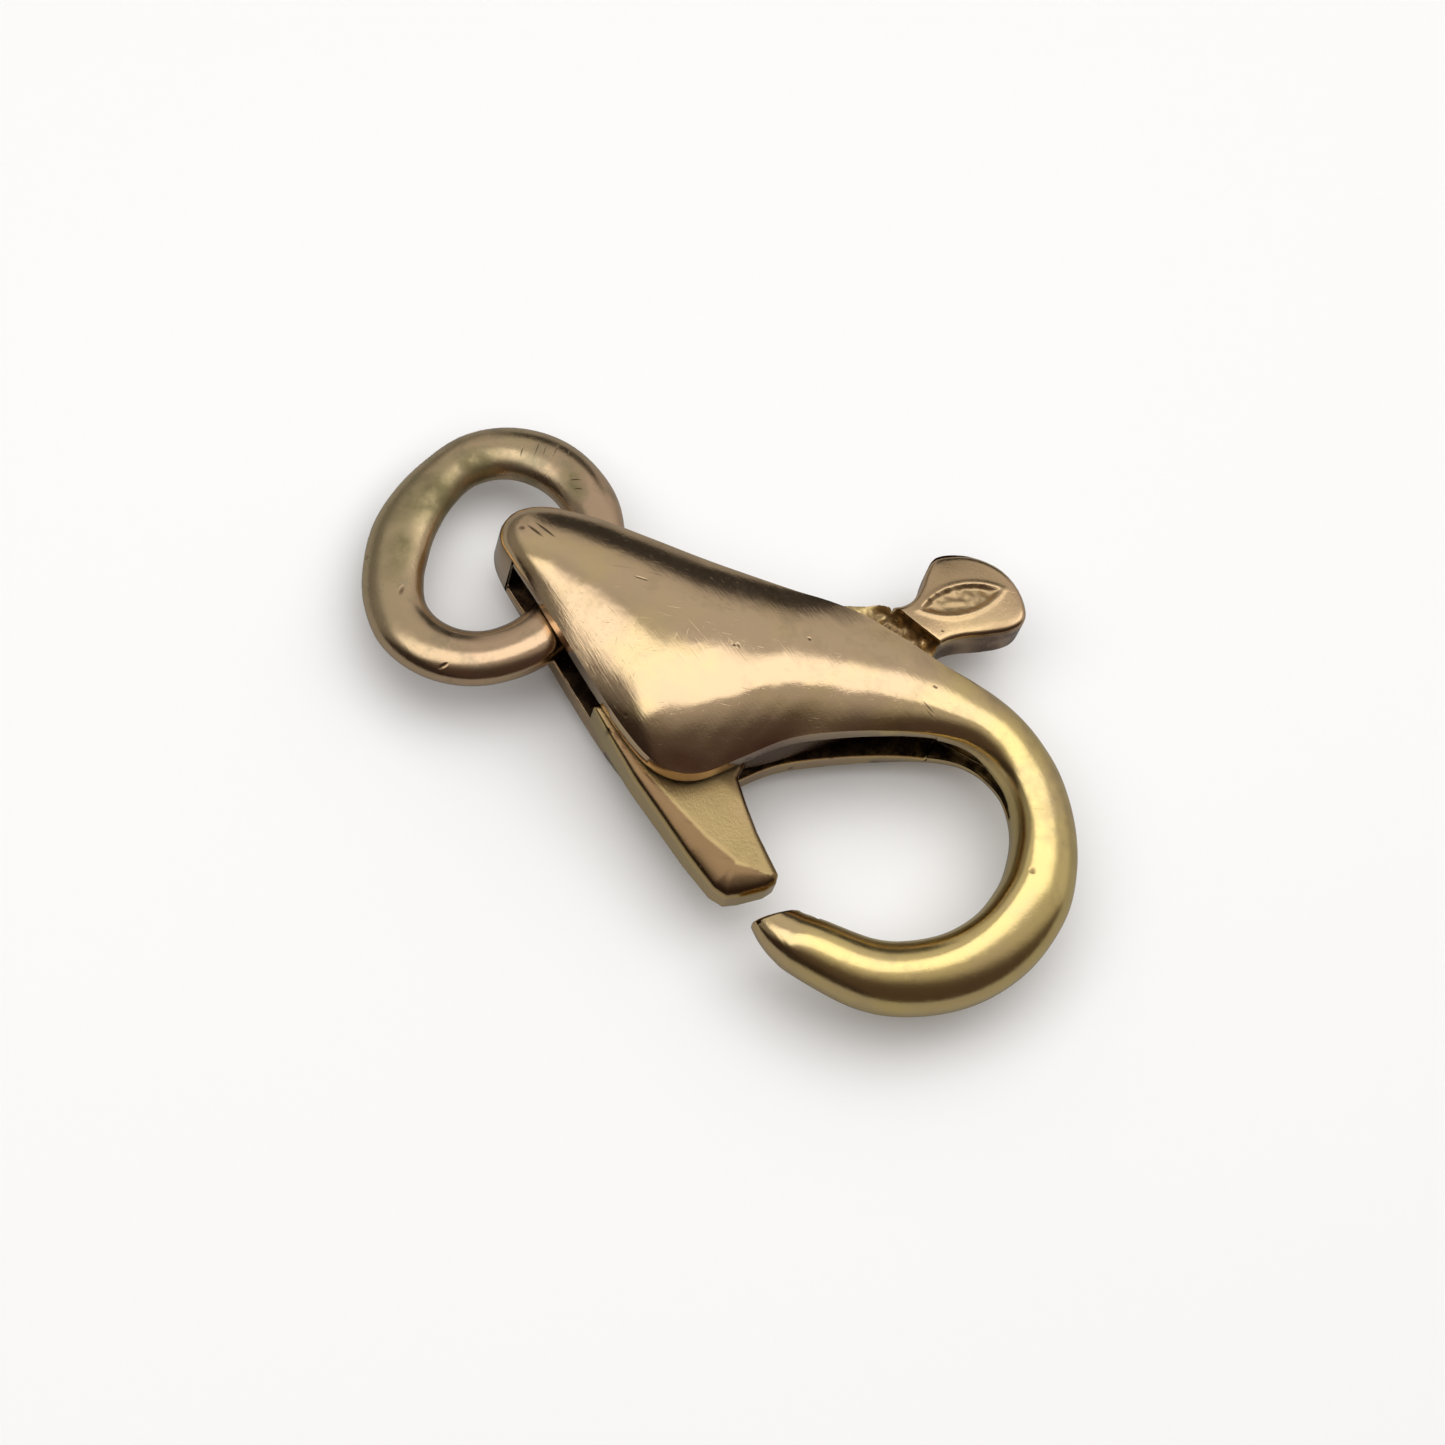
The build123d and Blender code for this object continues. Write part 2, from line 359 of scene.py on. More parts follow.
leverBlade = {
    "half": 0.75,
    "outline": [                       # x, y, shoulder width, shoulder drop
        (-3.90, -3.75, 0.14, 0.10),
        (-3.00, -4.15, 0.26, 0.17),
        (-1.50, -4.75, 0.46, 0.27),
        (0.00, -5.20, 0.70, 0.34),
        (1.30, -5.60, 0.96, 0.42),
        (2.60, -5.90, 1.34, 0.52),
        (3.10, -5.84, 1.38, 0.54),
        (3.42, -5.50, 1.20, 0.50),
        (3.90, -4.80, 0.66, 0.36),
        (4.00, -4.45, 0.34, 0.22),
        (3.88, -4.20, 0.20, 0.13),
        (2.55, -3.54, 0.15, 0.10),
        (1.70, -3.00, 0.12, 0.10),
        (0.95, -2.48, 0.10, 0.08),
        (0.80, -1.80, 0.10, 0.08),
        (3.30, 2.20, 0.10, 0.08),
        (3.40, 3.40, 0.10, 0.08),
        (3.08, 5.25, 0.10, 0.08),
        (1.66, 5.30, 0.10, 0.08),
        (0.82, 5.02, 0.10, 0.08),
        (-0.16, 4.22, 0.10, 0.08),
        (-2.10, 0.40, 0.10, 0.08),
    ],
    "underShoulder": (0.30, 0.18),     # width and drop
    "gateTo": -1.5,                    # y, where the finger's wear ends
    "topEdge": (-3.90, -3.75),         # the gate's top falls away from this edge
    "topTurn": 71.7,                   # degrees
    "topSlope": 0.13,
    "topFrom": -1.6,                   # y, and the length over which the slope sets in
    "topFade": 0.6,
    "satinFrom": 0.80,                 # shares of the shoulder's width
    "satinFade": (0.12, 0.04),         # share of that width, and mm
    # painted dark reflection on the rounded shoulder, strongest where it is not satin
    "shoulderDarkReflection": 0.9,
    "reflectionEdgeFade": 0.12,                 # width over which the painted dark reflection fades out towards the outer edge
    "hiddenFrom": -3.1,                # y, painted black shade between the plates from here
    "hiddenFade": 0.3,
    "neckTop": 0.52,                   # recessed between the plates' edge and the paddle
    "neckFrom": 3.3,
    "neckTo": 5.25,
    "neckCut": (2.0, 8.0, 1.0),        # middle x, length and height of what is cut away
    "neckRamp": 0.45,                  # length over which it rises to the paddle
    "rampEnd": 0.15,                   # before neckTo
    "neckSatin": 0.4,
    "nuggets": 0.24,                   # height of the rough casting left in the neck
    "nuggetSize": 0.30,
    "nuggetCap": 0.7,                  # how high the pattern reaches, and its level
    "nuggetLevel": 0.25,
    "nuggetFade": (0.2, 0.35),         # at the neck's ends and at its sides
    "neckGrime": (0.2, 5.0),           # at the level, and how fast it fills the hollows
    "paddleFrom": 5.15,                # y
    "voxel": 0.055,
    "smoothing": 0.5,
    "smoothRounds": 4,
}

paddle = {
    "half": 0.85,
    "outline": [                       # x, y
        (3.12, 5.10),
        (3.30, 5.55),
        (3.62, 5.98),
        (4.05, 6.42),
        (4.52, 7.00),
        (4.71, 7.50),
        (4.55, 7.97),
        (3.90, 8.46),
        (3.05, 8.70),
        (2.20, 8.57),
        (1.58, 8.20),
        (1.16, 7.68),
        (1.23, 7.10),
        (1.44, 6.50),
        (1.53, 5.95),
        (1.40, 5.54),
        (1.20, 5.28),
        (1.40, 5.10),
    ],
    "steps": 3,
    "rounding": 0.20,
    "roundingSegments": 5,
    "stampMiddle": (2.70, 6.90),
    "stampLength": 2.84,
    "stampWidth": 1.05,
    "stampTurn": 55.4,
    "stampDepth": 0.12,
    "stampSlope": 0.14,
    "stampRim": (0.16, 0.05),          # width and height of the metal pushed up round it
    "stampGrain": 0.06,
    "grainFineness": 4.5,              # per mm
    "stampSatin": 0.7,
    "stampEdge": 0.06,                 # inside its outline, where that satin starts
    "topEdge": (3.12, 5.10),           # the top is level here and curves down away from it
    "topTurn": 146,                    # degrees
    "topBend": 0.050,
    "topWaves": 0.04,
    "waveFineness": 0.8,
    "topDepth": 0.45,                  # how deep these changes to the top reach
    "satin": 0.35,
    "satinFrom": 0.09,                 # in from the outline
    "satinFade": 0.30,
    "sideDarkening": (0.6, 1.3, 0.9),      # mean, unevenness and most
    "darkeningFineness": 1.1,
    "sideFrom": 0.28,                  # below the top
    "sideDepth": 0.10,                 # in from the outline
}


def makePaddle(size):
    half = size["half"]
    rows = smoothRows(size["outline"], size["steps"])
    head = drawOutline("paddle", rows, midPlane - half)
    thicken(head, 2 * half)
    pickFaces(head, lambda face: abs(face.normal.z) > facing)
    bpy.ops.mesh.region_to_loop()
    bpy.ops.mesh.bevel(offset=size["rounding"], segments=size["roundingSegments"])
    bpy.ops.object.mode_set(mode="OBJECT")
    return head


def nearestOnOutline(outline, x, y):
    # distance to the outline, then what its rows give there after x and y
    best = None
    for a, b in zip(outline, outline[1:] + outline[:1]):
        dx, dy = b[0] - a[0], b[1] - a[1]
        t = held(((x - a[0]) * dx + (y - a[1]) * dy) / (dx * dx + dy * dy))
        gap = math.hypot(x - a[0] - t * dx, y - a[1] - t * dy)
        if best is None or gap < best[0]:
            best = (gap, *(p + t * (q - p) for p, q in zip(a[2:], b[2:])))
    return best


def shoulderDrop(gap, width, drop):
    # how far a rounded shoulder has fallen, gap from its outer edge
    if gap >= width:
        return 0
    return drop * (1 - math.sqrt(1 - (1 - gap / width) ** 2))


def stampReach(size, x, y):
    # the blank pointed recess lies where two circles cross: below 0 inside it, above 0 outside
    length, width = size["stampLength"] / 2, size["stampWidth"] / 2
    radius = (length ** 2 + width ** 2) / (2 * width)
    turn = math.radians(size["stampTurn"])
    midX, midY = size["stampMiddle"]
    reach = -radius
    for side in (1, -1):
        aside = side * (radius - width)
        far = math.hypot(x - midX + math.sin(turn) * aside, y - midY - math.cos(turn) * aside)
        reach = max(reach, far - radius)
    return reach


def pastTopEdge(size, x, y):
    # distance from the edge where the top is highest, towards the side where it falls
    turn = math.radians(size["topTurn"])
    edgeX, edgeY = size["topEdge"]
    return max((x - edgeX) * math.cos(turn) + (y - edgeY) * math.sin(turn), 0)


# The next three give a point's worn height, its satin, and its grime with painted shade

def wearGate(size, x, y, z):
    # rounded shoulders with a painted dark reflection on them, a satin top that falls away from the
    # outer edge, and painted black shade between the plates
    gap, width, drop = nearestOnOutline(size["outline"], x, y)
    satin, grimeAndPaintedLight, slope = 0, 0, 0
    if z > midPlane:
        fade, leastFade = size["satinFade"]
        satin = held((gap - size["satinFrom"] * width) / (fade * width + leastFade))
        grimeAndPaintedLight = size["shoulderDarkReflection"] * (1 - satin) * min(gap / size["reflectionEdgeFade"], 1)
        slope = size["topSlope"] * held((size["topFrom"] - y) / size["topFade"])
    else:
        width, drop = size["underShoulder"]
    lower = shoulderDrop(gap, width, drop) + slope * pastTopEdge(size, x, y)
    # painted black shade on the part of the finger that lies between the plates
    hidden = held((y - size["hiddenFrom"]) / size["hiddenFade"])
    return z - lower * (z - midPlane) / size["half"], satin, max(grimeAndPaintedLight, hidden)


def wearNeck(size, rise, x, y, z):
    # a run up to the paddle, and nuggets of rough casting with grime between them
    ramp = held(1 - (size["neckTo"] - size["rampEnd"] - y) / size["neckRamp"]) ** 2
    worn = z + rise * ramp * (z - midPlane) / size["neckTop"]
    if z <= midPlane:
        return worn, size["neckSatin"], 0
    near = noise.voronoi(Vector((x, y, z)) / size["nuggetSize"])[0]
    gap = nearestOnOutline(size["outline"], x, y)[0]
    endFade, sideFade = size["nuggetFade"]
    edge = min(y - size["neckFrom"], size["neckTo"] - y) / endFade
    relief = min(near[1] - near[0], size["nuggetCap"]) - size["nuggetLevel"]
    relief *= held(min(edge, gap / sideFade))
    level, fast = size["neckGrime"]
    return worn + size["nuggets"] * relief, size["neckSatin"], held(level - fast * relief)


def wearPaddle(size, x, y, z):
    # a bent top with the recess and its rim, and darker patches round the sides
    reach = stampReach(size, x, y)
    gap = nearestOnOutline(size["outline"], x, y)[0]
    top = midPlane + size["half"]
    satin = size["satin"] * held((gap - size["satinFrom"]) / size["satinFade"])
    if reach < -size["stampEdge"]:
        satin = size["stampSatin"]
    grimeAndPaintedLight = 0
    if gap < size["sideDepth"] and z < top - size["sideFrom"]:
        mean, uneven, most = size["sideDarkening"]
        patches = noise.noise(Vector((x, y, z)) * size["darkeningFineness"])
        grimeAndPaintedLight = min(max(mean + uneven * patches, 0), most)
    if z < top - size["topDepth"]:
        return z, satin, grimeAndPaintedLight

    rimWidth, rimHeight = size["stampRim"]
    if reach > 0:
        z += rimHeight * max(1 - reach / rimWidth, 0)
    else:
        deep = min(-reach / size["stampSlope"], 1)
        grain = size["stampGrain"] * noise.noise(Vector((x, y, 0)) * size["grainFineness"])
        z += rimHeight + deep * (grain - rimHeight - size["stampDepth"])
    z += size["topWaves"] * noise.noise(Vector((x, y, 0)) * size["waveFineness"])
    return z - size["topBend"] * pastTopEdge(size, x, y) ** 2, satin, grimeAndPaintedLight


def wearLever(blade, size, headSize):
    # satin, and grime with painted shade and painted dark reflection, are kept as attributes of the
    # points, for the material
    for name in ("satin", "grimeAndPaintedLight"):
        blade.data.attributes.new(name, "FLOAT", "POINT")
    satin = blade.data.attributes["satin"].data
    grimeAndPaintedLight = blade.data.attributes["grimeAndPaintedLight"].data
    rise = headSize["half"] - size["neckTop"]
    for i, vert in enumerate(blade.data.vertices):
        x, y, z = vert.co
        worn = z, 0, 1                 # the hub between the plates, painted black as shade
        if y < size["gateTo"]:
            worn = wearGate(size, x, y, z)
        elif y > size["paddleFrom"]:
            worn = wearPaddle(headSize, x, y, z)
        elif y > size["neckFrom"]:
            worn = wearNeck(size, rise, x, y, z)
        vert.co.z, satin[i].value, grimeAndPaintedLight[i].value = worn


def makeLever(size, headSize):
    half = size["half"]
    blade = drawOutline("leverCasting", size["outline"], midPlane - half)
    thicken(blade, 2 * half)
    bpy.ops.object.mode_set(mode="OBJECT")
    low, high = size["neckFrom"], size["neckTo"]
    middle, length, height = size["neckCut"]
    for side in (1, -1):
        tool = startMesh("neckTool")
        centre = (middle, (low + high) / 2, midPlane + side * (size["neckTop"] + height / 2))
        bpy.ops.mesh.primitive_cube_add(size=1, location=centre)
        bpy.ops.transform.resize(value=(length, high - low, height), center_override=centre)
        bpy.ops.object.mode_set(mode="OBJECT")
        cutAway(blade, tool)
    cutAway(blade, makePaddle(headSize), "UNION")
    makeActive(blade)
    blade.data.remesh_voxel_size = size["voxel"]
    bpy.ops.object.voxel_remesh()
    wearLever(blade, size, headSize)
    applyModifier(blade, "SMOOTH", factor=size["smoothing"], iterations=size["smoothRounds"])
    return blade


print("lever casting")
leverCasting = makeLever(leverBlade, paddle)


# Tail ring: rings round an uneven oval, hanging by its droop

tailRing = {
    "rows": [                          # angle in its plane, radius of the wire's middle, half width
        (0, 3.05, 0.95),
        (25, 3.15, 0.90),
        (50, 3.45, 0.84),
        (65, 3.62, 0.86),
        (80, 3.72, 0.90),
        (100, 3.86, 0.92),
        (120, 3.86, 0.90),
        (140, 3.66, 0.89),
        (160, 3.26, 0.90),
        (180, 3.04, 0.95),
        (200, 3.00, 1.00),
        (220, 3.08, 1.02),
        (240, 3.36, 1.02),
        (260, 3.70, 0.98),
        (280, 3.79, 0.95),
        (300, 3.68, 0.93),
        (320, 3.43, 0.93),
        (340, 3.18, 0.95),
    ],
    "halfHeight": 0.65,
    "middle": (-2.50, -1.45),          # from the line that it swings about
    "hinge": -7.2,
    "droop": 10.0,
    "ringPoints": 40,
    "ringSteps": 7,
}


def makeTailRing(size):
    ring = startMesh("tailRing")
    # two rows more at each end lead the curve in and out
    before = [(angle - 360, *wire) for angle, *wire in size["rows"][-2:]]
    after = [(angle + 360, *wire) for angle, *wire in size["rows"][:2]]
    spare = 2 * size["ringSteps"]
    rows = smoothRows(before + size["rows"] + after, size["ringSteps"])[spare:-spare]
    offX, offY = size["middle"]
    for i, (angle, radius, half) in enumerate(rows):
        turn = math.radians(angle)
        x = size["hinge"] + offX + radius * math.cos(turn)
        y = offY + radius * math.sin(turn)
        addRing(ring, i, size["ringPoints"], (x, y, midPlane), turn, half, 0, size["halfHeight"])
    bpy.ops.mesh.select_all(action="SELECT")
    bpy.ops.mesh.bridge_edge_loops(type="CLOSED")
    bpy.ops.mesh.select_all(action="SELECT")
    bpy.ops.mesh.normals_make_consistent(inside=False)
    swing = Matrix.Rotation(math.radians(-size["droop"]), 4, "Y")
    place = Matrix.Translation((size["hinge"], 0, midPlane))
    bpy.ops.object.mode_set(mode="OBJECT")
    ring.data.transform(place @ swing @ place.inverted())
    return ring


print("tail ring")
tailRingWire = makeTailRing(tailRing)


# Pivot pin, hidden between the plates

pivotPin = {
    "radius": 0.49,
    "length": 4.4,
    "sides": 48,
    "edge": 0.06,
    "edgeSegments": 2,
}


def makePin(size):
    deselectAll()
    bpy.ops.mesh.primitive_cylinder_add(
        vertices=size["sides"], radius=size["radius"], depth=size["length"], location=(0, 0, midPlane))
    rod = bpy.context.object
    rod.name = "pivotRod"
    applyModifier(rod, "BEVEL", width=size["edge"], segments=size["edgeSegments"], limit_method="ANGLE")
    return rod


print("pivot pin")
pivotRod = makePin(pivotPin)

smoothAngle = 40         # degrees, sharper edges stay sharp
for piece in (clawCasting, leverCasting, tailRingWire, pivotRod):
    sizeDown(piece)
    bpy.ops.object.shade_smooth_by_angle(angle=math.radians(smoothAngle))
    print(piece.name, len(piece.data.vertices), "vertices", len(piece.data.polygons), "faces")
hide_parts("claw_body")
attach(clawCasting, "body")
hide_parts("lever")
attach(leverCasting, "lever")
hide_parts("tail_ring")
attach(tailRingWire, "ring")
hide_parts("pivot_pin")
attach(pivotRod, "body")


# Finishes

def joinNodes(tree, *pairs):
    for source, target in pairs:
        tree.links.new(source, target)


def addNode(tree, kind, **settings):
    node = tree.nodes.new("ShaderNode" + kind)
    for key, value in settings.items():
        if key in node.inputs:
            node.inputs[key].default_value = value
        else:
            setattr(node, key, value)
    return node


def inMillimetres(tree, turn=0.0, stretch=(1, 1, 1)):
    # object coordinates in mm, turned about Z and then stretched
    place = addNode(tree, "TexCoord")
    turned = addNode(tree, "Mapping", vector_type="POINT")
    turned.inputs["Rotation"].default_value = (0, 0, math.radians(turn))
    turned.inputs["Scale"].default_value = (1 / mm, 1 / mm, 1 / mm)
    sized = addNode(tree, "Mapping", vector_type="POINT")
    sized.inputs["Scale"].default_value = stretch
    joinNodes(tree, (place.outputs["Object"], turned.inputs["Vector"]),
              (turned.outputs[0], sized.inputs["Vector"]))
    return sized.outputs[0]


def noiseOf(tree, where, scale, detail, roughness):
    texture = addNode(tree, "TexNoise", Scale=scale, Detail=detail, Roughness=roughness)
    joinNodes(tree, (where, texture.inputs["Vector"]))
    return texture.outputs["Fac"]


def spread(tree, value, low, high, toLow=0.0, toHigh=1.0):
    # value from low..high to toLow..toHigh, held at the ends
    node = addNode(tree, "MapRange")
    for key, number in zip(("From Min", "From Max", "To Min", "To Max"), (low, high, toLow, toHigh)):
        node.inputs[key].default_value = number
    joinNodes(tree, (value, node.inputs["Value"]))
    return node.outputs["Result"]


def mathOf(tree, operation, *values):
    node = addNode(tree, "Math", operation=operation)
    for socket, value in zip(node.inputs, values):
        if isinstance(value, (int, float)):
            socket.default_value = value
        else:
            joinNodes(tree, (value, socket))
    return node.outputs[0]


def towardsSide(tree, where, azimuth):
    # how far a place or a direction reaches towards an azimuth
    side = addNode(tree, "VectorMath", operation="DOT_PRODUCT")
    turn = math.radians(azimuth)
    side.inputs[1].default_value = (math.cos(turn), math.sin(turn), 0)
    joinNodes(tree, (where, side.inputs[0]))
    return side.outputs["Value"]


def mixColours(tree, share, first, second):
    # sockets of the mix node: 0 share, 6 and 7 its two colours, 2 the mixed one
    node = addNode(tree, "Mix", data_type="RGBA")
    for socket, value in zip((node.inputs[6], node.inputs[7]), (first, second)):
        if isinstance(value, tuple):
            socket.default_value = (*value, 1)
        else:
            joinNodes(tree, (value, socket))
    joinNodes(tree, (share, node.inputs[0]))
    return node.outputs[2]


def marksOf(tree, marks):
    # one soft oval each: x, y, z, turn, length and width in mm, 1 in its core
    core = 0.3               # share of its radius
    leastHeight = 0.5        # mm
    total = None
    for x, y, z, turn, length, width in marks:
        place = addNode(tree, "TexCoord")
        moved = addNode(tree, "Mapping", vector_type="TEXTURE")
        moved.inputs["Location"].default_value = (x * mm, y * mm, z * mm)
        moved.inputs["Rotation"].default_value = (0, 0, math.radians(turn))
        reach = (length / 2 * mm, width / 2 * mm, max(length, leastHeight) * mm)
        moved.inputs["Scale"].default_value = reach
        away = addNode(tree, "VectorMath", operation="LENGTH")
        joinNodes(tree, (place.outputs["Object"], moved.inputs["Vector"]),
                  (moved.outputs[0], away.inputs[0]))
        mark = spread(tree, away.outputs["Value"], 1, core)
        total = mark if total is None else mathOf(tree, "MAXIMUM", total, mark)
    return total


def bumpOf(tree, height, depth, before=None):
    # depth in mm for a height of 1
    bump = addNode(tree, "Bump")
    bump.inputs["Strength"].default_value = 1
    bump.inputs["Distance"].default_value = depth * mm
    joinNodes(tree, (height, bump.inputs["Height"]))
    if before is not None:
        joinNodes(tree, (before, bump.inputs["Normal"]))
    return bump.outputs[0]


def toneOf(tree, plain, axes, finish):
    # rose gold that turns yellow along the piece, in patches
    share = finish["patchShare"]
    pattern = noiseOf(tree, plain, *finish["patches"])
    patches = spread(tree, pattern, *finish["patchSpan"], -share, share)
    along = spread(tree, axes.outputs[finish["yellowAxis"]], *finish["yellowAlong"])
    return mixColours(tree, mathOf(tree, "ADD", along, patches), finish["rose"], finish["yellow"])


def tarnishOf(tree, plain, clouds, finish):
    # cloudy, heavier on one side
    side = towardsSide(tree, plain, finish["tarnishSide"])
    heavier = spread(tree, side, *finish["tarnishFrom"], 0, finish["tarnishMore"])
    return spread(tree, mathOf(tree, "ADD", clouds, heavier), *finish["tarnishSpan"],
                  0, finish["tarnishShare"])


def stainsAndPaintedLightOf(tree, clouds, finish):
    # dull marks in places of their own: real stains on the ring and lever, painted maroon reflections
    # on the body; a worn piece adds the grime and painted shade kept on its points
    if not finish["stainsAndPaintedLight"]:
        return None
    patchy = spread(tree, clouds, *finish["stainAndPaintedLightClouds"])
    stainsAndPaintedLight = mathOf(tree, "MULTIPLY", marksOf(tree, finish["stainsAndPaintedLight"]), patchy)
    if finish["worn"]:
        grimeAndPaintedLight = addNode(tree, "Attribute", attribute_name="grimeAndPaintedLight")
        stainsAndPaintedLight = mathOf(tree, "MAXIMUM", stainsAndPaintedLight, grimeAndPaintedLight.outputs["Fac"])
    return stainsAndPaintedLight


def pitsOf(tree, plain, finish):
    # a few cells of a pattern, and marks in places of their own
    cells = addNode(tree, "TexVoronoi", Scale=finish["pitScale"])
    joinNodes(tree, (plain, cells.inputs["Vector"]))
    numbers = addNode(tree, "SeparateColor")
    joinNodes(tree, (cells.outputs["Color"], numbers.inputs[0]))
    least = 1 - finish["pitShare"]
    chosen = spread(tree, numbers.outputs[0], least, least + 0.001)
    dots = spread(tree, cells.outputs["Distance"], *finish["pitEdge"])
    hole = mathOf(tree, "MULTIPLY", dots, chosen)
    if finish["marks"]:
        hole = mathOf(tree, "MAXIMUM", hole, marksOf(tree, finish["marks"]))
    return hole


def polishOf(tree, plain, finish):
    # slow waves, then crossing brushed lines, then separate scratches
    surface = bumpOf(tree, noiseOf(tree, plain, *finish["waves"]), finish["waveDepth"])
    scale, *kind = finish["brushLines"]
    for i, (turn, finer, depth) in enumerate(finish["brushed"]):
        where = inMillimetres(tree, turn, (1, finer, finer))
        lines = noiseOf(tree, where, scale + i * finish["brushApart"], *kind)
        surface = bumpOf(tree, lines, depth, surface)
    scale, *kind = finish["scratchLines"]
    for i, turn in enumerate(finish["scratchTurns"]):
        where = inMillimetres(tree, turn, finish["scratchStretch"])
        lines = noiseOf(tree, where, scale + i * finish["scratchApart"], *kind)
        cut = spread(tree, lines, *finish["scratchSpan"])
        surface = bumpOf(tree, cut, -finish["scratchDepth"], surface)
    return surface


def makeGold(name, finish):
    material = bpy.data.materials.new(name)
    material.use_nodes = True
    tree = material.node_tree
    shader = tree.nodes["Principled BSDF"]
    shader.inputs["Metallic"].default_value = 1
    plain = inMillimetres(tree)
    axes = addNode(tree, "SeparateXYZ")
    joinNodes(tree, (plain, axes.inputs[0]))

    clouds = noiseOf(tree, plain, *finish["clouds"])
    tarnish = tarnishOf(tree, plain, clouds, finish)
    stainsAndPaintedLight = stainsAndPaintedLightOf(tree, clouds, finish)
    hole = pitsOf(tree, plain, finish)

    colour = mixColours(tree, tarnish, toneOf(tree, plain, axes, finish), finish["tarnish"])
    surface = bumpOf(tree, hole, -finish["pitDepth"], polishOf(tree, plain, finish))
    uneven = noiseOf(tree, plain, *finish["roughPatches"])
    rough = spread(tree, uneven, *finish["roughSpan"], *finish["roughness"])
    along = spread(tree, axes.outputs["X"], *finish["satinAlong"], 0, finish["satinMore"])
    rough = mathOf(tree, "ADD", rough, along)
    rough = mathOf(tree, "MULTIPLY_ADD", tarnish, finish["tarnishRough"], rough)
    if stainsAndPaintedLight is not None:
        stainAndPaintedLightMix = mathOf(tree, "MULTIPLY", stainsAndPaintedLight, finish["stainAndPaintedLightShare"])
        colour = mixColours(tree, stainAndPaintedLightMix, colour, finish["stainAndPaintedLightTone"])
        rough = mathOf(tree, "MULTIPLY_ADD", stainsAndPaintedLight, finish["stainAndPaintedLightRough"], rough)
    dirty = mathOf(tree, "MULTIPLY", hole, finish["dirtShare"])
    colour = mixColours(tree, dirty, colour, finish["dirt"])
    if finish["worn"]:
        satin = addNode(tree, "Attribute", attribute_name="satin").outputs["Fac"]
        dulled = mathOf(tree, "MULTIPLY", satin, finish["satinShare"])
        colour = mixColours(tree, dulled, colour, finish["satinTone"])
        rough = mathOf(tree, "MULTIPLY_ADD", satin, finish["satinRough"], rough)
        grain = mathOf(tree, "MULTIPLY", noiseOf(tree, plain, *finish["grain"]), satin)
        surface = bumpOf(tree, grain, finish["grainDepth"], surface)
    joinNodes(tree, (colour, shader.inputs["Base Color"]), (rough, shader.inputs["Roughness"]),
              (surface, shader.inputs["Normal"]))
    return material


# A noise pattern is given by its scale per mm, its detail and its roughness, and a span by the
# values of the pattern, from 0 to 1, where its effect starts and is full

bodyFinish = {
    "worn": False,                     # whether its points have satin, and grime with painted shade
    "rose": (0.80, 0.585, 0.36),
    "yellow": (0.92, 0.71, 0.30),
    "yellowAxis": "X",
    "yellowAlong": (1.0, 8.0),         # mm
    "patches": (0.5, 3, 0.55),
    "patchSpan": (0.35, 0.65),
    "patchShare": 0.3,
    "clouds": (0.9, 6, 0.62),
    "tarnish": (0.50, 0.37, 0.22),
    "tarnishSide": 90,                 # azimuth in degrees
    "tarnishFrom": (0.0, 8.0),         # mm towards it
    "tarnishMore": 0.22,
    "tarnishSpan": (0.56, 0.78),
    "tarnishShare": 0.42,
    "tarnishRough": 0.18,
    "dirt": (0.16, 0.09, 0.05),
    "dirtShare": 0.7,
    "roughness": (0.08, 0.15),
    "roughPatches": (1.7, 5, 0.6),
    "roughSpan": (0.3, 0.7),
    "satinAlong": (4.0, 7.0),          # x in mm
    "satinMore": 0.08,
    "waves": (0.9, 2, 0.5),
    "waveDepth": 0.012,                # mm
    "brushLines": (0.9, 3, 0.65),
    "brushApart": 0.13,                # in scale, from one direction to the next
    "brushed": [                       # turn, how much finer across, depth
        (18, 13, 0.0030),
        (22, 28, 0.0018),
        (-52, 20, 0.0009),
    ],
    "scratchLines": (0.8, 1, 0.5),
    "scratchApart": 0.17,
    "scratchStretch": (0.9, 17, 17),
    "scratchSpan": (0.71, 0.80),
    "scratchTurns": (14, -30, 70),
    "scratchDepth": 0.0016,
    "pitScale": 1.1,
    "pitShare": 0.10,                  # of the pattern's cells
    "pitEdge": (0.16, 0.06),           # outer and inner radius, in cells
    "pitDepth": 0.012,
    "marks": [                         # x, y, z, turn, length, width of pits and deep scratches
        (-9.26, -0.82, 4.16, 30, 0.26, 0.20),
        (-8.85, -0.66, 4.28, -7, 0.80, 0.11),
        (-8.62, -0.44, 4.34, -7, 0.90, 0.10),
        (-5.20, -0.02, 5.00, 21, 0.50, 0.08),
        (-1.60, 0.08, 5.21, 40, 0.20, 0.10),
        (-1.50, 0.16, 5.21, -30, 0.22, 0.09),
        (0.01, 1.97, 4.82, 0, 0.16, 0.13),
        (3.96, 3.54, 4.37, 10, 0.18, 0.14),
        (4.24, 2.83, 4.31, -7, 0.60, 0.04),
        (4.42, 2.70, 4.31, -7, 0.50, 0.03),
    ],
    "stainsAndPaintedLight": [
        # painted maroon reflections along the dome's near edge
        (-0.40, -3.70, 4.45, 25, 3.00, 0.90),
        (1.10, -1.70, 4.40, 62, 3.40, 0.70),
    ],
    "stainAndPaintedLightClouds": (0.30, 0.55, 0.35, 1),      # span, then least and most
    # the maroon of these painted reflections
    "stainAndPaintedLightTone": (0.42, 0.16, 0.12),
    "stainAndPaintedLightShare": 0.55,
    "stainAndPaintedLightRough": 0.03,
}

